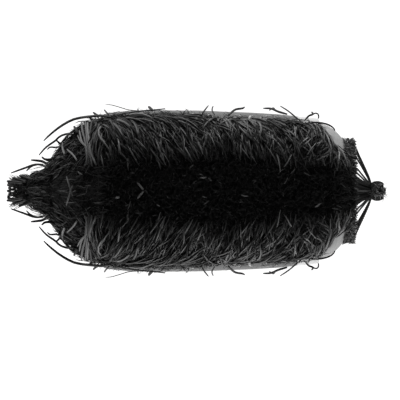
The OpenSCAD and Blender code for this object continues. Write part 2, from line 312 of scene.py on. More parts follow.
def tubes(name, paths, radii, up, slots, sides=3, flat=1.0, picks=None):
    """Closed tubes along many paths at once.

    paths is (tubes, rings, 3), radii is (tubes, rings), up is the direction in which
    a tube is flattened, and picks gives each tube's and ring's material slot.
    """
    count, rings = paths.shape[:2]
    along = unit(np.gradient(paths, axis=1))
    side = unit(np.cross(np.broadcast_to(up, paths.shape), along))
    rise = np.cross(along, side)
    turn = 2 * math.pi * np.arange(sides) / sides
    ring = (side[:, :, None] * np.cos(turn)[:, None]
            + rise[:, :, None] * np.sin(turn)[:, None] * flat)
    points = paths[:, :, None] + ring * radii[:, :, None, None]
    k, j = np.meshgrid(np.arange(rings - 1), np.arange(sides), indexing="ij")
    n = (j + 1) % sides
    walls = np.stack([
        k * sides + j, k * sides + n, (k + 1) * sides + n, (k + 1) * sides + j], -1)
    caps = np.concatenate([np.arange(sides)[::-1], (rings - 1) * sides + np.arange(sides)])
    loops = np.concatenate([walls.ravel(), caps])
    wall_count = (rings - 1) * sides
    starts = np.append(np.arange(wall_count) * 4, [wall_count * 4, wall_count * 4 + sides])
    every = np.arange(count)[:, None]
    if picks is not None:
        ends = picks[:, [0, -1]]
        picks = np.concatenate([np.repeat(picks[:, :-1], sides, axis=1), ends], 1).ravel()
    return new_object(
        name, points.reshape(-1, 3),
        (loops + every * rings * sides).ravel(),
        (starts + every * len(loops)).ravel(), slots, picks)


def cloth(name, grid, material, closed=False, thickness=0.7 * MM):
    """A sheet over a grid of points (stations, angles, 3), given some thickness."""
    rows, cols = grid.shape[:2]
    i, j = np.meshgrid(
        np.arange(rows - 1), np.arange(cols if closed else cols - 1), indexing="ij")
    n = (j + 1) % cols
    quads = np.stack(
        [i * cols + j, (i + 1) * cols + j, (i + 1) * cols + n, i * cols + n], -1)
    made = new_object(
        name, grid.reshape(-1, 3), quads.ravel(), np.arange(quads.size // 4) * 4,
        [material])
    solid = made.modifiers.new("thickness", "SOLIDIFY")
    solid.thickness = thickness
    solid.offset = 0.0
    return made


# ---------------------------------------------------------------- fur

# Share of its full width that a strand has from root to tip: a thick tuft that tapers
# at both ends, and a single hair that tapers only at its tip.
TUFT_SHAPE = np.array([0.55, 0.9, 1.0, 1.0, 0.92, 0.7, 0.22])
HAIR_SHAPE = np.array([1.0, 1.0, 0.95, 0.85, 0.7, 0.5, 0.15])
STEPS = len(TUFT_SHAPE) - 1


def comb(rng, x, phi, heading, length, rise, settle, turn=0.0, curl=0.25, low=0.6 * MM):
    """Strands that leave the skin at an angle of rise and settle along it.

    heading is the direction over the skin, from +X towards growing phi, and turn is
    how far it swings by the tip. Gives the paths and the skin's normals at the roots.
    """
    count = len(x)
    lift = np.full(count, low)
    phase = rng.uniform(0, 2 * math.pi, count)
    cycles = rng.uniform(0.3, 0.9, count)
    floor = rng.uniform(0.9, 3.0, count) * MM
    point, normal = place(x, phi, lift)
    path = [point]
    for step in range(STEPS):
        share = (step + 0.5) / STEPS
        way = heading + turn * share + curl * np.sin(phase + 2 * math.pi * cycles * share)
        climb = rise + (settle - rise) * share
        run = length / STEPS * np.cos(climb)
        x = x + run * np.cos(way)
        phi = phi + run * np.sin(way) / np.maximum(skin_radius(x) + lift, 12 * MM)
        lift = np.maximum(lift + length / STEPS * np.sin(climb), low)
        path.append(place(x, phi, lift)[0])
    path = np.stack(path, 1)
    path[..., 2] = np.maximum(path[..., 2], floor[:, None])
    return path, normal


def pile(name, body, rng, path, normal, width, shares, shape=TUFT_SHAPE, flat=0.45,
         dark_root=2, mirror=False):
    """One piece of fur: a tapered strand along each path, in one of the pile's greys.

    shares are the odds of each grey, either the same for all or one row for each strand.
    """
    if mirror:
        path, normal = path * [1, -1, 1], normal * [1, -1, 1]
    odds = np.cumsum(np.broadcast_to(shares, (len(path), len(PILE))), 1)
    kind = (rng.uniform(size=(len(path), 1)) * odds[:, -1:] > odds).sum(1)
    picks = np.repeat(kind[:, None], STEPS + 1, 1)
    picks[:, :dark_root] = 0
    radii = width[:, None] / 2 * shape
    up = unit(normal + 0.5 * rng.normal(size=normal.shape))[:, None]
    made = tubes(name, path, radii, up, PILE, flat=flat, picks=picks)
    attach(made, body)
    return made


def fur_edge(x):
    """Half angle of the fur panel, which narrows over the rear dome."""
    return np.interp(x, np.array([74, 84, 90]) * MM, np.array([61, 45, 42]) * DEG)


def crown_edge(x):
    """Half angle of the dark, upright middle of a panel, widest at mid length."""
    return np.interp(
        x, np.array([-60, -30, -8, 22, 45, 90]) * MM,
        np.array([16, 17, 22, 22, 16, 16]) * DEG)


def slant(x):
    """How far the flank's fur leans to the rear as it runs inwards, along the panel."""
    marks = np.array([-60, -2, 4, 10, 20, 56, 64, 90]) * MM
    lean = np.array([32, 28, 4, 2, 26, 24, -10, -16]) * DEG
    return np.interp(x, marks, lean)


def flank(side, part, span, count, seed, upper=True):
    """Fur that lies over a side of a panel, combed towards the panel's middle."""
    rng = random(seed)
    x = rng.uniform(*span, count) * MM
    edge = fur_edge(x)
    row = 0.25 + 0.75 * rng.uniform(0, 1, count) ** 0.6
    inner = crown_edge(x)
    phi = inner + (edge - inner) * row
    radius = skin_radius(x) + 4 * MM
    lean = slant(x) + rng.normal(0, 13 * DEG, count) + 12 * DEG * np.sin(x / (2.7 * MM))
    fine = rng.uniform(size=count) < 0.35
    room = (phi - inner + rng.normal(0, 2.5 * DEG, count)) * radius / np.cos(lean)
    length = np.minimum(rng.uniform(17, 30, count) * MM, np.maximum(room, 5 * MM))
    heading = -math.pi / 2 + lean
    rise = rng.uniform(12, 30, count) * DEG + 22 * DEG * row
    settle = rng.uniform(-20, -2, count) * DEG
    turn = rng.normal(0, 10 * DEG, count)
    if not upper:
        phi = math.pi - phi
        heading = math.pi / 2 - lean
    path, normal = comb(rng, x, phi, heading, length, rise, settle, turn, curl=0.16)
    width = np.where(fine, rng.uniform(0.4, 0.8, count), rng.uniform(1.0, 2.2, count)) * MM
    # Painted light: along the flank, the share of paler greys rises where the lamps light the fur
    # most and falls towards the ends.
    painted_light = np.interp(x, np.array([-57, -40, -8, 35, 60, 88]) * MM, [0, 0.3, 1, 1, 0.5, 0.3])
    shares = (np.array([46, 24, 21, 9, 0])
              + painted_light[:, None] * np.array([-24, -5, 14, 14, 1]))
    level = "upper" if upper else "lower"
    return pile(
        f"{level}_fur_{side}_{part}", "basket", rng, path, normal, width,
        shares, mirror=side == "right")


def crown(name, span, count, seed):
    """Upright fur in the middle of the upper panel, whose tips hide what lies between."""
    rng = random(seed)
    x = rng.uniform(*span, count) * MM
    phi = rng.uniform(-1, 1, count) * (crown_edge(x) + 5 * DEG)
    heading = rng.uniform(0, 2 * math.pi, count)
    length = rng.uniform(6.5, 9, count) * MM
    rise = rng.uniform(50, 80, count) * DEG
    settle = rng.uniform(5, 50, count) * DEG
    path, normal = comb(rng, x, phi, heading, length, rise, settle, curl=0.5)
    width = rng.uniform(0.4, 1.0, count) * MM
    # Nearly all blackest grey: painted shade for the deep upright middle between the lit flanks.
    return pile(name, "basket", rng, path, normal, width, (97, 3, 0, 0, 0))


def underside(count, seed):
    """Pile pressed flat between the basket and whatever it lies on."""
    rng = random(seed)
    x = rng.uniform(-55, 86, count) * MM
    phi = math.pi + rng.uniform(-1, 1, count) * 36 * DEG
    heading = rng.uniform(-40, 40, count) * DEG
    length = rng.uniform(9, 16, count) * MM
    path, normal = comb(
        rng, x, phi, heading, length, np.full(count, 35 * DEG), np.full(count, 5 * DEG))
    width = rng.uniform(0.6, 1.5, count) * MM
    return pile("lower_fur_middle", "basket", rng, path, normal, width, (45, 40, 15, 0, 0))


def front_cap(name, phi_range, count, seed, mirror):
    """Fur round the front dome, combed forwards over the nose.

    It is made in two pieces: the fur at the sides, which face the lamps, takes paler greys as
    painted light, and the fur on the nose takes blacker greys as painted shade.
    """
    rng = random(seed)
    share = rng.uniform(0, 1, count) ** 0.9
    x = (-58.5 - 29 * share) * MM
    phi = rng.uniform(*phi_range, count) * DEG
    inwards = np.where(np.sin(phi) > 0.3, 70 * DEG * (1 - share) ** 0.7, 0.0)
    heading = math.pi + rng.normal(0, 18 * DEG, count) + inwards * np.sign(np.cos(phi))
    ragged = rng.uniform(size=count) < np.where(np.sin(phi) > 0.42, 0.15, 0.04)
    heading += np.where(ragged, rng.normal(0, 50 * DEG, count), 0)
    length = np.where(ragged, rng.uniform(4, 9, count),
                      rng.uniform(9, 17, count) * (1 - 0.45 * share)) * MM
    rise = np.where(ragged, rng.uniform(20, 50, count), rng.uniform(1, 12, count)) * DEG
    settle = np.where(ragged, rng.uniform(5, 35, count), rng.uniform(-8, 0, count)) * DEG
    path, normal = comb(rng, x, phi, heading, length, rise, settle, curl=0.22)
    width = np.where(
        rng.uniform(size=count) < 0.5, rng.uniform(0.35, 0.6, count),
        rng.uniform(0.7, 1.4, count)) * MM
    # Painted light: sideways fur near the cap's rear, and the ragged hairs at the sides, take the
    # paler greys.
    painted_lit_sides = (np.sin(phi) > 0.45) & (share < rng.uniform(0.12, 0.4, count))
    painted_lit_sides |= ragged & (np.sin(phi) > 0.42)
    first = pile(
        name, "basket", rng, path[painted_lit_sides], normal[painted_lit_sides], width[painted_lit_sides], (32, 28, 28, 12, 0),
        mirror=mirror)
    second = pile(
        name + "_nose", "basket", rng, path[~painted_lit_sides], normal[~painted_lit_sides], width[~painted_lit_sides],
        (88, 11, 1, 0, 0), mirror=mirror)
    return [first, second]


def edge_row(side, seed):
    """Short stray hairs along the cut edge of the upper panel, over the side strip."""
    rng = random(seed)
    count = 900
    front = rng.uniform(size=count) < 0.62
    x = np.where(front, rng.uniform(-58, 4, count), rng.uniform(4, 76, count)) * MM
    reach = np.where(front, 69, 64)
    phi = rng.uniform(57, reach, count) * DEG
    heading = rng.choice([0.0, math.pi], count) - 25 * DEG + rng.normal(0, 40 * DEG, count)
    length = rng.uniform(3, 9, count) * MM
    path, normal = comb(
        rng, x, phi, heading, length, rng.uniform(15, 50, count) * DEG,
        rng.uniform(-10, 20, count) * DEG, curl=0.5)
    width = rng.uniform(0.3, 0.8, count) * MM
    return pile(
        f"edge_hairs_{side}", "basket", rng, path, normal, width, (45, 30, 18, 6, 1),
        shape=HAIR_SHAPE, dark_root=0, mirror=side == "right")


def painted_glints(side, seed):
    """Short hair ends in light and near-white greys, as painted highlights, in the row just
    inside the edge.
    """
    rng = random(seed)
    count = 120
    x = rng.uniform(-8, 66, count) * MM
    phi = (62 - 16 * rng.uniform(0, 1, count) ** 2) * DEG
    heading = -math.pi / 2 + slant(x) + rng.normal(0, 30 * DEG, count)
    length = rng.uniform(2.5, 5, count) * MM
    path, normal = comb(
        rng, x, phi, heading, length, np.full(count, 20 * DEG), np.zeros(count),
        low=4.5 * MM)
    width = rng.uniform(0.35, 0.8, count) * MM
    return pile(
        f"bright_hairs_{side}", "basket", rng, path, normal, width, (0, 0, 0, 45, 55),
        shape=HAIR_SHAPE, dark_root=0, mirror=side == "right")


def hem_fringe(count, seed):
    """Fur that stands off the tail's hem, round the web with the eyelets."""
    rng = random(seed)
    x = rng.uniform(93.4, 96.4, count) * MM
    phi = rng.uniform(0, 360, count) * DEG
    radius = rng.uniform(29.2, 30.2, count) * MM
    out = np.stack([np.zeros(count), np.sin(phi), np.cos(phi)], -1)
    root = np.stack([x, *(radius * np.array([np.sin(phi), np.cos(phi)]))], -1)
    root[:, 2] += AXIS_Z
    jitter = 0.25 * rng.normal(size=(count, 3))
    start = unit(out * 0.05 + np.array([0.9, 0, 0]) + jitter)
    length = rng.uniform(1.8, 3.2, count) * MM
    share = np.linspace(0, 1, STEPS + 1)[None, :, None]
    droop = np.array([0.5, 0, 0]) - out * 0.45
    path = (root[:, None] + start[:, None] * share * length[:, None, None]
            + droop[:, None] * (share ** 2) * (length * 0.45)[:, None, None])
    width = rng.uniform(0.3, 0.9, count) * MM
    made = pile(
        "hem_fringe_fur", "tail", rng, path, out, width, (40, 34, 20, 6, 0),
        shape=HAIR_SHAPE, dark_root=1)
    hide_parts("hem_fringe")


def hem_fur(count, seed):
    """Curling pile over the outside of the hem, some of it over the cloth at the fold."""
    rng = random(seed)
    phi = rng.uniform(0, 360, count) * DEG
    out = np.stack([np.zeros(count), np.sin(phi), np.cos(phi)], -1)
    along = np.stack([np.zeros(count), np.cos(phi), -np.sin(phi)], -1)
    x = rng.uniform(91.6, 96.6, count) * MM
    on_tab = np.abs((phi + math.pi) % (2 * math.pi) - math.pi) < 22 * DEG
    tab_top = np.interp(x, np.array([91.6, 92.6, 94, 96.8]) * MM,
                        np.array([35.4, 35.2, 34.2, 31.4]) * MM)
    radius = np.where(on_tab, tab_top, 30.5 * MM)
    root = out * radius[:, None]
    root[:, 0] = x
    root[:, 2] += AXIS_Z
    way = rng.uniform(0, 2 * math.pi, count)[:, None]
    stand = rng.uniform(-0.1, 0.5, count)[:, None]
    start = unit(along * np.cos(way) + [1, 0, 0] * np.sin(way) + stand * out)
    share = np.linspace(0, 1, STEPS + 1)[None, :, None]
    length = rng.uniform(3, 7.5, count)[:, None, None] * MM
    swirl = np.sin(4 * share + way[:, None]) * along[:, None] * 0.2
    path = root[:, None] + (start[:, None] + swirl) * share * length
    rear = rng.uniform(97.5, 99.8, count)[:, None] * MM
    front = np.where(np.cos(phi) > 0.7, 92.6, rng.uniform(90.6, 91.8, count))[:, None] * MM
    path[:, :, 0] -= np.maximum(path[:, :, 0].max(1, keepdims=True) - rear, 0)
    path[:, :, 0] -= np.minimum(path[:, :, 0].min(1, keepdims=True) - front, 0)
    spread = np.hypot(path[:, :, 1], path[:, :, 2] - AXIS_Z)
    least = np.where(on_tab, 35 * MM, 0)[:, None] * (path[:, :, 0] < 94 * MM)
    floor = np.maximum(skin_radius(path[:, :, 0]) + 0.8 * MM, least)
    swell = np.maximum(floor / spread, 1)
    path[:, :, 1] *= swell
    path[:, :, 2] = AXIS_Z + (path[:, :, 2] - AXIS_Z) * swell
    width = rng.uniform(0.5, 1.2, count) * MM
    # Painted light: the hem's sides, which face the lamps, take paler greys; the top and bottom
    # take blacker greys as painted shade.
    painted_lit_side = np.abs(np.sin(phi)) > 0.55
    for name, part, shares in (("sides", painted_lit_side, (20, 25, 33, 20, 2)),
                               ("middle", ~painted_lit_side, (62, 30, 8, 0, 0))):
        pile(f"hem_fur_{name}", "tail", rng, path[part], out[part], width[part], shares,
             dark_root=1)


def frayed_ends(seed):
    """The draw cord's frayed ends, which curl over the cord lock. Some take light and near-white
    greys as painted highlights on the lock.
    """
    rng = random(seed)
    count = 130
    centre = (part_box("lock_body")[0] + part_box("lock_body")[1]) / 2
    centre.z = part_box("lock_button")[1].z
    root = np.array(centre) + rng.uniform(-1, 1, (count, 3)) * np.array([3.6, 3.4, 0]) * MM
    root[:, 2] += rng.uniform(0.3, 0.9, count) * MM
    way = rng.uniform(0, 2 * math.pi, count)
    start = np.stack([np.cos(way), np.sin(way), 0.2 * rng.uniform(size=count)], -1)
    side = np.stack([-np.sin(way), np.cos(way), 0 * way], -1)
    share = np.linspace(0, 1, STEPS + 1)[None, :, None]
    length = rng.uniform(2, 4.5, count)[:, None, None] * MM
    bend = rng.normal(0, 0.5, count)[:, None, None]
    path = root[:, None] + (start[:, None] * share + side[:, None] * bend * share ** 2) * length
    fall = np.hypot(path[:, :, 0] - centre.x, path[:, :, 1] - centre.y)
    path[:, :, 2] -= 0.06 * fall ** 2 / MM
    width = rng.uniform(0.35, 0.8, count) * MM
    # The light and near-white shares are painted highlights on the lock.
    pile("cord_fray", "cord_lock", rng, path, side, width, (34, 18, 18, 14, 16),
         shape=HAIR_SHAPE, dark_root=0)


def flared_tips(seed):
    """Hairs that stick out between the lacing at the closed front end."""
    rng = random(seed)
    count = 600
    x = rng.uniform(-110, -90, count) * MM
    phi = rng.uniform(0, 360, count) * DEG
    heading = math.pi + rng.normal(0, 25 * DEG, count)
    length = rng.uniform(6, 14, count) * MM
    path, normal = comb(
        rng, x, phi, heading, length, rng.uniform(10, 40, count) * DEG,
        rng.uniform(10, 35, count) * DEG, curl=0.35)
    keep = path[:, :, 0].min(1) > -117.5 * MM
    width = rng.uniform(0.35, 0.9, count) * MM
    pile(
        "front_tip_hairs", "basket", rng, path[keep], normal[keep], width[keep],
        (35, 35, 22, 8, 0), shape=HAIR_SHAPE, dark_root=1)


# Single long hairs that stand out from the pile. Each is a size, a
# little over half its thickness, then its grey in PILE and its points from above, as
# (x, y). Sizes and points are in millimetres. Each has its twin on the other side.
STRAYS = [
    (0.9, 1, [(-97.2, 22), (-92.7, 27), (-87, 31), (-84, 33.8), (-79.4, 35.3), (-76, 35)]),
    (1.1, 1, [(-94.2, 31), (-90.2, 34.8), (-84, 39.7), (-77, 43.7), (-71.6, 45.2),
              (-64.5, 45.8), (-57.4, 46.1), (-52, 45)]),
    (0.9, 1, [(-114.6, 11), (-106.2, 14), (-100, 16.2), (-95.5, 16), (-91, 14)]),
    (1.1, 0, [(-102.2, 19.1), (-98.2, 18.7), (-94.6, 18), (-90, 15)]),
    (1.0, 0, [(-95.5, 21.2), (-93.5, 19.6), (-90.5, 19.4), (-87.5, 20)]),
    (0.8, 2, [(-105, 12.2), (-102, 15), (-98.5, 16.2), (-94.5, 16.4)]),
    (0.8, 1, [(-92, 25.5), (-90.2, 27), (-86.7, 26.9), (-83, 27.6)]),
    (0.9, 0, [(-63.6, 48.6), (-61.8, 47.2), (-60, 45.9)]),
    (0.7, 1, [(-56.5, 50), (-55, 48.2), (-53.4, 46.4)]),
    (0.35, 1, [(-56, 53.4), (-52, 53), (-45, 50.8), (-41.5, 49.7), (-36.2, 49.2)]),
    (1.2, 1, [(-29.1, 51.8), (-28, 50.6), (-26.6, 49.2)]),
    (0.6, 1, [(-48.6, 46.4), (-40, 48), (-32.6, 49), (-25, 49.6), (-18.9, 50.4)]),
    (0.6, 0, [(7.7, 52.6), (5, 49), (3.2, 45.9)]),
    (0.6, 1, [(10.6, 52.3), (9.9, 49.5), (11.4, 46.5)]),
    (0.9, 1, [(30, 51.7), (28.5, 50.8), (24, 49.9), (20, 46.4)]),
    (0.9, 1, [(41.3, 50.8), (46.2, 50.6), (50.6, 48.6), (56, 47)]),
    (0.6, 1, [(45, 49.4), (47.4, 51), (48.6, 50.2)]),
    (0.6, 0, [(52, 52.6), (56.8, 49), (61.7, 44.6), (64.8, 41.9)]),
    (0.8, 0, [(66.6, 43), (69.2, 45.9), (71.9, 47.1), (71.4, 48.6)]),
    (0.6, 0, [(71.6, 46.8), (73.7, 47.8), (75.2, 47), (75.3, 44.6)]),
    (0.7, 0, [(62, 40.2), (66.6, 41), (73.7, 41.8), (79.9, 41), (83.8, 39.1), (85.2, 37)]),
    (0.6, 2, [(36.5, 34.7), (42.7, 37.5), (50.6, 39.7), (57.7, 41.5), (62.1, 42.8)]),
    # Hairs with the last grey, 4, are painted highlights on black fur.
    (1.2, 4, [(33.4, 45.9), (31.6, 42.4), (28.5, 39.1)]),
    (0.7, 4, [(37, 41.5), (38.5, 38.5)]),
    (0.7, 4, [(35.4, 39.5), (36.4, 36.8)]),
    (0.8, 3, [(77.2, 37.5), (75.4, 32.2), (72.8, 23.3), (71, 16.2)]),
    (1.2, 1, [(-117, 6.1), (-112, 5.5), (-107, 4.8)]),
    (1.2, 1, [(-113.6, 8.2), (-109.5, 6.9), (-105, 5.6)]),
    (1.2, 1, [(-109.5, 9.5), (-104.7, 7.9), (-101, 7)]),
    (0.9, 2, [(-70.5, 43), (-69.5, 37), (-67.5, 30), (-66.5, 22), (-66, 16)]),
    (1.0, 2, [(-68, 43), (-67, 37), (-66.4, 31), (-65, 25), (-62.8, 15)]),
    (1.0, 3, [(-66.5, 42), (-66, 36), (-64.6, 29), (-64.2, 24), (-60.4, 15.5)]),
    (0.8, 2, [(-61, 42), (-62, 36), (-63.8, 28), (-64.8, 23), (-67.4, 15.5)]),
    (0.8, 1, [(-64, 43), (-64.5, 37), (-65.8, 31), (-65.5, 24), (-64.6, 15)]),
    (0.8, 2, [(-58.5, 40), (-60.5, 33), (-63, 24), (-61.6, 17)]),
    (0.6, 3, [(-72.5, 34), (-70.2, 30), (-67.5, 27.5), (-65.5, 26)]),
    (0.8, 3, [(-71.5, 37), (-69.5, 30), (-67, 27), (-66, 22)]),
    (1.0, 0, [(-75.5, 40), (-74, 38), (-72.5, 35.5)]),
    (1.0, 0, [(-86.5, 31.5), (-84, 29), (-82.5, 27)]),
    (0.8, 1, [(-84.5, 28), (-81.5, 31.5), (-77.5, 35.5), (-73.5, 38.5)]),
    (0.9, 3, [(-82.2, 29.8), (-81.8, 26), (-80.4, 22.4)]),
    (0.7, 3, [(-79, 25.5), (-75, 22), (-72.4, 18.4)]),
    (0.8, 3, [(-46, 39.3), (-41.5, 35.7), (-37.5, 32.2)]),
    (0.8, 3, [(-35.3, 4.7), (-31.7, 0.6)]),
    (0.7, 2, [(-79, 9), (-77.4, 4), (-75, -3)]),
]


def smooth_line(points, count):
    """count points spaced evenly along a smooth curve through the given ones."""
    points = np.asarray(points, float)
    ends = np.concatenate([2 * points[:1] - points[1:2], points,
                           2 * points[-1:] - points[-2:-1]])
    pieces = []
    for a, b, c, d in zip(ends, ends[1:], ends[2:], ends[3:]):
        t = np.linspace(0, 1, 12, endpoint=False)[:, None]
        pieces.append(0.5 * (2 * b + (c - a) * t + (2 * a - 5 * b + 4 * c - d) * t ** 2
                             + (3 * b - a - 3 * c + d) * t ** 3))
    line = np.concatenate(pieces + [points[-1:]])
    gone = np.append(0, np.cumsum(np.linalg.norm(np.diff(line, axis=0), axis=1)))
    at = np.linspace(0, gone[-1], count)
    return np.stack([np.interp(at, gone, line[:, axis]) for axis in range(3)], 1)


def strays():
    rings = 16
    paths, radii, picks = [], [], []
    taper = np.interp(np.linspace(0, 1, rings), [0, 0.08, 0.3, 0.8, 1], [0.4, 0.75, 0.95, 1, 0.7])
    for size, kind, marks in STRAYS:
        x, y = np.array(marks).T * MM
        reach = skin_radius(x) + 6 * MM
        z = AXIS_Z + np.sqrt(np.maximum(reach ** 2 - y ** 2, (7 * MM) ** 2))
        line = smooth_line(np.stack([x, y, z], 1), rings)
        for mirror in (1, -1):
            paths.append(line * [1, mirror, 1])
            radii.append(taper * size * 0.85 * MM)
            picks.append(np.full(rings, kind))
    made = tubes("stray_hairs", np.array(paths), np.array(radii), np.array([0, 0, 1.0]),
                 PILE, sides=5, picks=np.array(picks))
    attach(made, "basket")


def crown_painted_highlights(seed):
    """A few paler ends among the dark upright pile: painted highlights, paler greys where light
    would catch them.
    """
    rng = random(seed)
    count = 36
    x = rng.uniform(-70, 84, count) * MM
    phi = rng.uniform(-1, 1, count) * crown_edge(x)
    heading = rng.uniform(0, 2 * math.pi, count)
    path, normal = comb(
        rng, x, phi, heading, rng.uniform(2, 5, count) * MM, np.full(count, 20 * DEG),
        np.zeros(count), low=6.5 * MM)
    width = rng.uniform(0.5, 1.3, count) * MM
    return pile("crown_painted_highlight_hairs", "basket", rng, path, normal, width, (0, 78, 22, 0, 0),
                dark_root=0)


# ---------------------------------------------------------------- cloth

def fur_backing(name, middle):
    """The cloth that a panel's fur is sewn into, as wide as the panel at each station."""
    x = np.linspace(-55.8, 89.3, 74)[:, None] * MM
    phi = middle + fur_edge(x) * np.linspace(-1, 1, 56)[None, :]
    grid, _ = place(x, phi, 0.9 * MM)
    grid[..., 2] = np.maximum(grid[..., 2], FLOOR_Z)
    return cloth(name, grid, BACKING), grid


def fur_panels():
    """The two panels of fur, above and below.

    Each is made in a front and a rear part, given by their ends along the axis in mm.
    """
    front, rear = (-57, 18), (16, 88)
    upper, upper_grid = fur_backing("upper_fur_backing", 0.0)
    lower, lower_grid = fur_backing("lower_fur_backing", math.pi)
    upper_fur = [crown("upper_fur_crown_front", front, 3600, 5),
                 crown("upper_fur_crown_rear", (18, 88), 3300, 6),
                 crown_painted_highlights(7)]
    lower_fur = [underside(2600, 8)]
    seed = 11
    for side in ("left", "right"):
        upper_fur += [
            flank(side, "front", front, 3300, seed),
            flank(side, "rear", rear, 3000, seed + 1),
            edge_row(side, seed + 2),
            painted_glints(side, seed + 3),
        ]
        lower_fur += [
            flank(side, "front", front, 2600, seed + 4, upper=False),
            flank(side, "rear", rear, 2400, seed + 5, upper=False),
        ]
    for cloth_piece, grid, node, fur in (
            (upper, upper_grid, "upper_fur_panel", upper_fur),
            (lower, lower_grid, "lower_fur_panel", lower_fur)):
        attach(cloth_piece, "basket")
        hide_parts(node)


def fur_cap():
    grid, _ = place(
        np.linspace(-87.4, -59.9, 22)[:, None] * MM,
        np.linspace(0, 2 * math.pi, 97)[None, :-1], 0.8 * MM)
    backing = cloth("front_cap_backing", grid, BACKING, closed=True)
    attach(backing, "basket")
    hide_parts("front_fur_cap")
    fur = [
        front_cap("front_cap_fur_upper_left", (-2, 92), 3000, 21, False),
        front_cap("front_cap_fur_upper_right", (-2, 92), 3000, 21, True),
        front_cap("front_cap_fur_lower_left", (88, 182), 2400, 22, False),
        front_cap("front_cap_fur_lower_right", (88, 182), 2400, 22, True),
    ]
    fur = [piece for pair in fur for piece in pair]
    flared_tips(23)


def side_strip(side, sign):
    """A plain stretch strip with soft waves, bound along both of its edges."""
    x = np.linspace(-55.3, 61.9, 120)[:, None] * MM
    phi = np.linspace(64.2, 115.8, 34)[None, :] * DEG
    wave = (np.sin(x / (9 * MM) + 3 * phi) + 0.7 * np.sin(x / (4.3 * MM) - 5 * phi + 1.3))
    fade = np.sin(np.linspace(0, math.pi, 34))[None, :] ** 0.5
    grid, _ = place(x, phi * sign, 0.42 * MM + 0.07 * MM * wave * fade)
    strip = cloth(f"{side}_strip_cloth", grid if sign > 0 else grid[::-1], STRIP,
                  thickness=0.5 * MM)
    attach(strip, "basket")
    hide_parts(f"{side}_side_strip")
    edges = []
    for turn in (64.6, 115.4):
        line, _ = place(np.linspace(-55, 61.6, 150) * MM, turn * DEG * sign, 0.85 * MM)
        edges.append(line)
    binding = tubes(
        f"{side}_strip_binding", np.array(edges), np.full((2, 150), 0.45 * MM),
        np.array([0, 0, 1.0]), [BINDING], sides=8)
    stitches = []
    for turn in (66.6, 113.4):
        for x0 in np.arange(-53.5, 60, 2.6):
            ends = np.linspace(x0, x0 + 1.5, 5) * MM
            stitches.append(place(ends, turn * DEG * sign, 0.78 * MM)[0])
    seam = tubes(
        f"{side}_strip_stitches", np.array(stitches),
        np.tile(np.array([0.06, 0.14, 0.16, 0.14, 0.06]) * MM, (len(stitches), 1)),
        np.array([0, 0, 1.0]), [BINDING], sides=5)
    for trim in (binding, seam):
        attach(trim, "basket")


def pleated(name, body, node, line, pleats, depth, material, thickness):
    """A cone of cloth gathered into pleats that deepen towards its narrow end."""
    x, r = np.array(line).T * MM
    at = np.linspace(0, 1, 26)
    mark = np.linspace(0, 1, len(x))
    x, r = np.interp(at, mark, x), np.interp(at, mark, r)
    phi = np.linspace(0, 2 * math.pi, 12 * pleats, endpoint=False)
    narrow = 1 - (r - r.min()) / (r.max() - r.min())
    fold = np.sin(pleats * phi)[None, :] + 0.35 * np.sin(2.3 * pleats * phi + 1)[None, :]
    radius = r[:, None] - depth * (0.35 + 0.65 * narrow[:, None]) * (0.7 + 0.5 * fold)
    grid = np.stack([
        np.broadcast_to(x[:, None], radius.shape),
        radius * np.sin(phi), AXIS_Z + radius * np.cos(phi)], -1)
    piece = cloth(name, grid, material, closed=True, thickness=thickness)
    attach(piece, body)
    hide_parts(node)


def tail_hem():
    """A turned hem: a band round the mouth and a flat web for the eyelets."""
    low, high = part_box("tail_hem")
    outer = (high.y - low.y) / 2
    phi = np.linspace(0, 2 * math.pi, 192, endpoint=False)
    profile = [(low.x + 0.4 * MM, outer - 2.2 * MM), (low.x + 0.3 * MM, outer - 0.9 * MM),
               (low.x + 1.0 * MM, outer - 0.4 * MM), (low.x + 2.4 * MM, outer - 0.35 * MM),
               (high.x - 0.9 * MM, outer - 0.5 * MM), (high.x - 0.4 * MM, outer - 1.2 * MM),
               (high.x - 0.35 * MM, outer - 5 * MM), (high.x - 0.35 * MM, outer - 9 * MM),
               (high.x - 0.35 * MM, outer - 13.8 * MM)]
    x, r = np.array(profile).T
    at = np.linspace(0, 1, 40)
    mark = np.linspace(0, 1, len(x))
    x, r = np.interp(at, mark, x), np.interp(at, mark, r)
    puckers = 0.18 * MM * np.sin(24 * phi)[None, :] * (r[:, None] < outer - 2 * MM)
    grid = np.stack([
        x[:, None] + puckers, r[:, None] * np.sin(phi), AXIS_Z + r[:, None] * np.cos(phi)],
        -1)
    hem = cloth("tail_hem_cloth", grid, LINING, closed=True, thickness=0.6 * MM)
    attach(hem, "tail")
    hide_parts("tail_hem")


def tail_tab():
    """The strip of jacket cloth over the fold line."""
    x = np.linspace(87.4, 96.8, 18)[:, None] * MM
    phi = np.linspace(-20, 20, 22)[None, :] * DEG
    over = np.exp(-((x - FOLD_X) / (2.2 * MM)) ** 2) * 1.3 * MM
    radius = np.interp(x, np.array([87.4, 91, 94, 96.8]) * MM,
                       np.array([36.4, 34.2, 33.2, 31.2]) * MM) + over
    grid = np.stack([
        np.broadcast_to(x, radius.shape) + 0 * phi, radius * np.sin(phi),
        AXIS_Z + radius * np.cos(phi)], -1)
    tab = cloth("tail_tab_cloth", grid, BACKING, thickness=0.5 * MM)
    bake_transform(tab)


# ---------------------------------------------------------------- cords

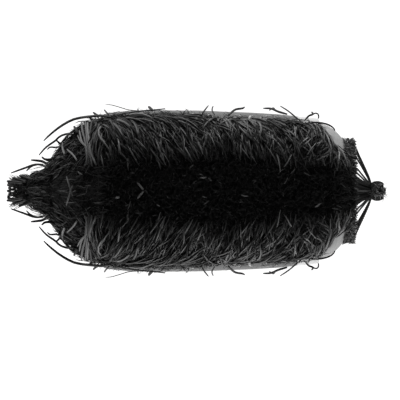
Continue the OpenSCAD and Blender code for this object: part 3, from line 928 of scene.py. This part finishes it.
def twisted(name, routes, radius, pitch):
    """Round cord laid up from three plies that wind about each route."""
    plies = 3
    strands, widths, ups = [], [], []
    for route in routes:
        run = np.linalg.norm(np.diff(route, axis=0), axis=1).sum()
        line = smooth_line(route, ring_count(run, len(routes)))
        along = unit(np.gradient(line, axis=0))
        side = unit(np.cross(along, [0.13, 0.31, 0.94]))
        rise = np.cross(along, side)
        gone = np.linspace(0, run, len(line))
        for ply in range(plies):
            turn = 2 * math.pi * (gone / pitch + ply / plies)
            offset = side * np.cos(turn)[:, None] + rise * np.sin(turn)[:, None]
            strands.append(line + offset * radius * 0.5)
            widths.append(np.full(len(line), radius * 0.55))
            ups.append(offset)
    return tubes(name, np.array(strands), np.array(widths), np.array(ups),
                 [CORD], sides=6)


def ring_count(run, group):
    """Rings on a cord: one each 0.55 mm, or a fixed number where a mesh holds several."""
    return max(12, int(round(run / (0.55 * MM) / 4)) * 4) if group == 1 else 56


def around(x, r, degrees):
    turn = degrees * DEG
    return [x, r * math.sin(turn), AXIS_Z + r * math.cos(turn)]


def front_lacing():
    """Two sets of cords that cross as they close the jacket's front."""
    bars = 9
    routes = []
    for bar in range(bars):
        for way in (-1, 1):
            start, end = 360 * bar / bars, 360 * bar / bars + way * 80
            marks = []
            for share in np.linspace(0, 1, 7):
                x = -95 - 21.8 * share
                r = np.interp(share, [0, 0.17, 0.33, 0.5, 1],
                              [12.6, 10.4, 8.4, 7.0, 5.6]) * MM + 0.4 * MM * way
                marks.append(around(x * MM, r, start + (end - start) * share))
            routes.append(marks)
    made = twisted("front_lacing_cords", [np.array(r) for r in routes], 0.68 * MM, 4.5 * MM)
    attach(made, "basket")
    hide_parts("front_lacing")


def front_tie():
    """Two turns of cord that hold the lacing together."""
    pieces = []
    for x, r, phase in ((-107.2, 8.0, 0.0), (-108.7, 7.7, 1.1)):
        turn = np.linspace(0, 2 * math.pi, 49)
        wobble = 0.15 * MM * np.sin(5 * turn + phase)
        route = np.stack([
            x * MM + wobble, (r * MM + wobble) * np.sin(turn),
            AXIS_Z + (r * MM + wobble) * np.cos(turn)], 1)
        pieces.append(route)
    for index, route in enumerate(pieces):
        made = twisted(f"front_tie_turn_{index + 1}", [route], 0.68 * MM, 4.5 * MM)
        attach(made, "basket")
        if index == 0:
            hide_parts("front_tie")


def tail_cords():
    """The draw cord's twelve legs, from the eyelets to the cord lock."""
    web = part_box("hem_eyelets")[1].x
    lock_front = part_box("lock_body")[0].x
    for leg in range(12):
        turn = 30 * leg
        route = np.array([
            around(web - 2.2 * MM, 27.6 * MM, turn), around(web + 1.0 * MM, 27.5 * MM, turn),
            around(web + 4.0 * MM, 21.4 * MM, turn), around(web + 7.0 * MM, 15.0 * MM, turn),
            around(lock_front - 1.0 * MM, 8.4 * MM, turn),
            around(lock_front + 0.2 * MM, 4.4 * MM, turn)])
        made = twisted(f"tail_cord_{leg + 1}", [route], 0.62 * MM, 4.5 * MM)
        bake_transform(made)
        if leg == 0:
            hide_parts("tail_cords")


def lock_spring():
    """The cord lock's coil spring."""
    low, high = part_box("lock_spring")
    centre = (low + high) / 2
    wire, turns = 0.225 * MM, 4
    coil = (high.x - low.x) / 2 - wire
    turn = np.linspace(0, 2 * math.pi * turns, 24 * turns + 1)
    out = np.stack([np.cos(turn), np.sin(turn), 0 * turn], 1)
    route = np.array(centre) + out * coil
    route[:, 2] = np.linspace(low.z + wire, high.z - wire, len(turn))
    made = tubes("lock_spring_coil", route[None], np.full((1, len(turn)), wire), out[None],
                 [SPRING], sides=8)
    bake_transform(made)
    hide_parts("lock_spring")


def knots():
    """The cord's ends, tied behind the lock, and the knot that keeps the lock on."""
    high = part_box("lock_body")[1]
    route = []
    for share in np.linspace(0, 1, 22):
        turn = share * 4 * math.pi
        route.append([high.x + (0.6 + 0.9 * math.sin(turn * 1.5)) * MM,
                      1.5 * MM * math.cos(turn), AXIS_Z + 1.5 * MM * math.sin(turn)])
    made = twisted("cord_knot", [np.array(route)], 0.6 * MM, 3.5 * MM)
    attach(made, "cord_lock")


# ---------------------------------------------------------------- hard parts and foam

def foam_ring():
    """The foam that holds the microphone's nose, with softly rounded edges."""
    low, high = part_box("nose_foam")
    outer = (high.y - low.y) / 2
    inner = 11 * MM
    soft = 1.2 * MM
    corners = [(low.x, inner), (low.x, outer), (high.x, outer), (high.x, inner)]
    middle_x, middle_r = (low.x + high.x) / 2, (inner + outer) / 2
    profile = []
    for index, (x, r) in enumerate(corners):
        cx = x + math.copysign(soft, middle_x - x)
        cr = r + math.copysign(soft, middle_r - r)
        for step in range(5):
            turn = math.pi + index * -math.pi / 2 - step * math.pi / 8 + math.pi / 2
            profile.append((cx + soft * math.cos(turn), cr + soft * math.sin(turn)))
    profile = np.array(profile)
    phi = np.linspace(0, 2 * math.pi, 96, endpoint=False)
    grid = np.stack([
        np.broadcast_to(profile[:, :1], (len(profile), 96)),
        profile[:, 1:] * np.sin(phi), AXIS_Z + profile[:, 1:] * np.cos(phi)], -1)
    rows, cols = grid.shape[:2]
    i, j = np.meshgrid(np.arange(rows), np.arange(cols), indexing="ij")
    m, n = (i + 1) % rows, (j + 1) % cols
    quads = np.stack([i * cols + j, m * cols + j, m * cols + n, i * cols + n], -1)
    made = new_object("nose_foam_ring", grid.reshape(-1, 3), quads.ravel(),
                      np.arange(quads.size // 4) * 4, [FOAM])
    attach(made, "basket")
    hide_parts("nose_foam")


def rim_lip():
    """The milky lip that closes the step between the rim band and the rear dome."""
    profile = np.array([(75.2, 45.1), (75.7, 44.9), (75.95, 44.2), (76.1, 42.9), (76.6, 42.1)])
    phi = np.linspace(0, 2 * math.pi, 144, endpoint=False)
    x, r = profile.T[:, :, None] * MM
    grid = np.stack([
        np.broadcast_to(x, (len(profile), 144)), r * np.sin(phi), AXIS_Z + r * np.cos(phi)],
        -1)
    lip = cloth("rear_rim_lip", grid, RIM, closed=True, thickness=0.5 * MM)
    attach(lip, "basket")


HARD_LOOKS = {
    "front_hoop": CAGE, "second_hoop": CAGE, "third_hoop": CAGE, "rear_hoop": CAGE,
    "stringers": CAGE, "front_dome_frame": CAGE, "rear_dome_frame": PALE_CAGE,
    "tube_mesh": SKIN, "front_dome_mesh": SKIN, "rear_dome_mesh": REAR_SKIN_PAINTED_LIGHT,
    "front_seam_band": TAPE, "fold_seam": TAPE, "rear_rim_band": RIM,
    "rear_collar": DARK_MOULDED, "mic_bush": RUBBER, "bush_retainer": DARK_MOULDED,
    "retainer_screws": STEEL, "hem_eyelets": EYELET, "lock_body": LOCK,
    "lock_button": BUTTON, "lock_spring": SPRING,
}


def dress_frame():
    for node, material in HARD_LOOKS.items():
        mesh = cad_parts[node].data
        mesh.materials.clear()
        mesh.materials.append(material)


# ---------------------------------------------------------------- studio

def studio():
    scene = bpy.context.scene
    scene.view_settings.view_transform = "Standard"

    floor_mesh = bpy.data.meshes.new("floor")
    half = 4.0
    floor_mesh.from_pydata(
        [(-half, -half, 0), (half, -half, 0), (half, half, 0), (-half, half, 0)], [],
        [(0, 1, 2, 3)])
    floor_mesh.materials.append(Shader(
        "floor_white", grey(0.8), 0.9, Emission_Color=(1, 1, 1, 1),
        Emission_Strength=0.86, Specular_IOR_Level=0.0).material)
    floor = bpy.data.objects.new("floor", floor_mesh)
    scene.collection.objects.link(floor)

    world = bpy.data.worlds.new("studio")
    scene.world = world
    world.use_nodes = True
    tree = world.node_tree
    shown, lit = tree.nodes["Background"], tree.nodes.new("ShaderNodeBackground")
    shown.inputs["Color"].default_value = (0.95, 0.95, 0.95, 1)
    lit.inputs["Color"].default_value = (0.16, 0.16, 0.16, 1)
    mix = tree.nodes.new("ShaderNodeMixShader")
    tree.links.new(tree.nodes.new("ShaderNodeLightPath").outputs["Is Camera Ray"], mix.inputs[0])
    tree.links.new(lit.outputs[0], mix.inputs[1])
    tree.links.new(shown.outputs[0], mix.inputs[2])
    tree.links.new(mix.outputs[0], tree.nodes["World Output"].inputs["Surface"])

    for name, side in (("left", 1), ("right", -1)):
        light = bpy.data.lights.new(f"softbox_{name}", "AREA")
        light.shape = "RECTANGLE"
        light.size, light.size_y = 0.7, 0.18
        light.energy = 4.0
        lamp = bpy.data.objects.new(f"softbox_{name}", light)
        lamp.location = (0, side * 0.7, 0.22)
        aim = Vector((0, 0, 0.075)) - lamp.location
        lamp.rotation_euler = aim.to_track_quat("-Z", "Y").to_euler()
        lamp.visible_camera = False
        scene.collection.objects.link(lamp)

    camera = bpy.data.cameras.new("camera")
    camera.lens, camera.sensor_width = 290, 36
    camera.clip_end = 20
    eye = bpy.data.objects.new("camera", camera)
    eye.location = (0.0025, -0.0056, AXIS_Z + 2.0)
    scene.collection.objects.link(eye)
    scene.camera = eye


dress_frame()
foam_ring()
rim_lip()
fur_panels()
fur_cap()
strays()
side_strip("left", 1)
side_strip("right", -1)
pleated("front_gather_cloth", "basket", "front_gather",
        [(-104, 5), (-100, 8.5), (-95, 12), (-88.8, 16.7)], 18, 1.4 * MM, LINING, 0.6 * MM)
front_lacing()
front_tie()
tail_hem()
hem_fringe(1500, 41)
hem_fur(2400, 42)
frayed_ends(43)
pleated("tail_throat_cloth", "tail", "tail_throat",
        [(96.4, 15.6), (97.4, 11.6), (100, 8.8), (103.5, 6.4), (108.2, 3.9)], 16, 0.8 * MM,
        BACKING, 0.5 * MM)
tail_tab()
tail_cords()
lock_spring()
knots()
studio()
